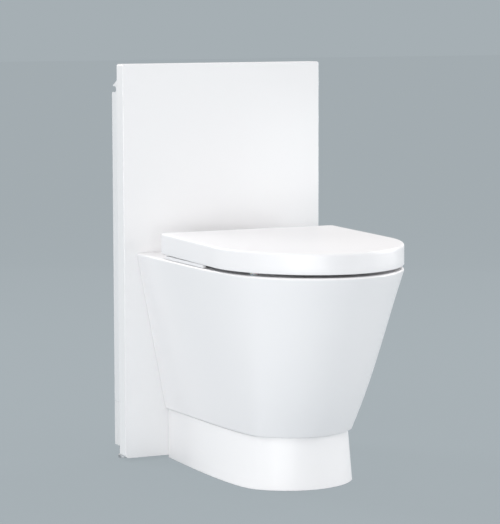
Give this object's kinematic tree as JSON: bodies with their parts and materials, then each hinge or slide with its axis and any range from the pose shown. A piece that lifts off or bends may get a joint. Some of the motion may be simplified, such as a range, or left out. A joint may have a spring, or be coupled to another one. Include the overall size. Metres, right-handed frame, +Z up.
{
  "type": "floor-standing toilet",
  "caption": "Floor-standing toilet with a tapered D-shaped ceramic bowl on a recessed plinth, a wrap-over seat lid and a tall flat panel that hides a slim cistern.",
  "frame": {"origin": "on the floor, under the middle of the whole part", "axes": "+Z up, the bowl points to -Y, the wall is at +Y, +X is to the right of someone who looks at the bowl's front"},
  "size_m": [0.413, 0.648, 0.758],
  "materials": {
    "bowl_glaze": "glossy white glaze",
    "plinth_glaze": "glossy white glaze",
    "panel_gloss": "gloss white",
    "seat_gloss": "gloss white",
    "frame_coat": "satin light grey powder coat",
    "tank_plastic": "natural white, slightly rough",
    "moulding": "moulded light grey",
    "rubber": "matt black",
    "buffer_rubber": "translucent light grey",
    "chrome": "polished",
    "steel": "zinc plated",
    "hose_braid": "braided wire"
  },
  "bodies": {
    "base": {"bowl": "bowl_glaze", "plinth": "plinth_glaze", "front_panel": "panel_gloss", "frame_upright_left": "frame_coat", "frame_upright_right": "frame_coat", "foot_sleeve_left": "moulding", "foot_sleeve_right": "moulding", "levelling_foot_left": "steel", "levelling_foot_right": "steel", "carrier_plate": "steel", "wall_bracket_left": "steel", "wall_bracket_right": "steel", "panel_clip_left": "moulding", "panel_clip_right": "moulding", "bowl_stud_left": "steel", "bowl_stud_right": "steel", "stud_nut_left": "steel", "stud_nut_right": "steel", "floor_screw_left": "steel", "floor_screw_right": "steel", "waste_connector": "moulding", "waste_seal": "rubber", "flush_bend": "moulding", "inlet_cone_seal": "rubber", "cistern_tank": "tank_plastic", "tank_lid": "tank_plastic", "button_housing": "chrome", "full_button_spring": "steel", "half_button_spring": "steel", "flush_valve_cage": "moulding", "rocker_pin": "steel", "outlet_gasket": "rubber", "tank_outlet_nut": "moulding", "fill_valve_body": "moulding", "fill_valve_locknut": "moulding", "stop_valve": "chrome", "supply_hose": "hose_braid", "hinge_post_left": "chrome", "hinge_post_right": "chrome", "hinge_pin_left": "steel", "hinge_pin_right": "steel", "hinge_nut_left": "moulding", "hinge_nut_right": "moulding"},
    "lid_body": {"lid": "seat_gloss", "lid_buffer": "buffer_rubber"},
    "seat_body": {"seat_ring": "seat_gloss", "seat_buffer_rear_left": "buffer_rubber", "seat_buffer_rear_right": "buffer_rubber", "seat_buffer_front_left": "buffer_rubber", "seat_buffer_front_right": "buffer_rubber", "damper_left": "moulding", "damper_right": "moulding"},
    "full_button": {"full_flush_button": "chrome"},
    "half_button": {"half_flush_button": "chrome"},
    "rocker": {"lift_rocker": "moulding"},
    "flush_lift": {"overflow_tube": "moulding", "valve_seal": "rubber"},
    "float": {"float_cup": "moulding"},
    "lever": {"float_lever": "moulding"},
    "supply_handle": {"stop_valve_handle": "chrome"}
  },
  "joints": [
    {"name": "lid_hinge", "type": "hinge", "parent": "base", "child": "lid_body", "pos_m": [0, 0.096, 0.424], "axis": [-1, 0, 0], "range_deg": [0, 102]},
    {"name": "seat_hinge", "type": "hinge", "parent": "base", "child": "seat_body", "pos_m": [0, 0.096, 0.424], "axis": [-1, 0, 0], "range_deg": [0, 96]},
    {"name": "full_button_slide", "type": "slide", "parent": "base", "child": "full_button", "axis": [0, 0, 1], "range_m": [-0.006, 0], "stiffness_N_per_m": 600, "springref_m": 0.01, "deforming": ["full_button_spring"]},
    {"name": "half_button_slide", "type": "slide", "parent": "base", "child": "half_button", "axis": [0, 0, 1], "range_m": [-0.006, 0], "stiffness_N_per_m": 600, "springref_m": 0.01, "deforming": ["half_button_spring"]},
    {"name": "rocker_hinge", "type": "hinge", "parent": "base", "child": "rocker", "pos_m": [0.032, 0.2775, 0.664], "axis": [0, 1, 0], "range_deg": [0, 27.5]},
    {"name": "flush_lift_slide", "type": "slide", "parent": "base", "child": "flush_lift", "axis": [0, 0, 1], "range_m": [0, 0.0065]},
    {"name": "float_slide", "type": "slide", "parent": "base", "child": "float", "axis": [0, 0, 1], "range_m": [-0.012, 0], "stiffness_N_per_m": 100, "springref_m": 0.02},
    {"name": "lever_hinge", "type": "hinge", "parent": "base", "child": "lever", "pos_m": [0.084, 0.2775, 0.662], "axis": [0, 1, 0], "range_deg": [-25, 0]},
    {"name": "supply_handle_turn", "type": "hinge", "parent": "base", "child": "supply_handle", "pos_m": [0.14, 0.288, 0.28], "axis": [1, 0, 0], "range_deg": [0, 90]}
  ],
  "couplings": [
    {"joint": "seat_hinge", "follows": "lid_hinge", "ratio": 0.94},
    {"joint": "rocker_hinge", "follows": "full_button_slide", "rad_per_m": -78.5},
    {"joint": "flush_lift_slide", "follows": "full_button_slide", "ratio": -1.033},
    {"joint": "lever_hinge", "follows": "float_slide", "rad_per_m": 36.03}
  ]
}
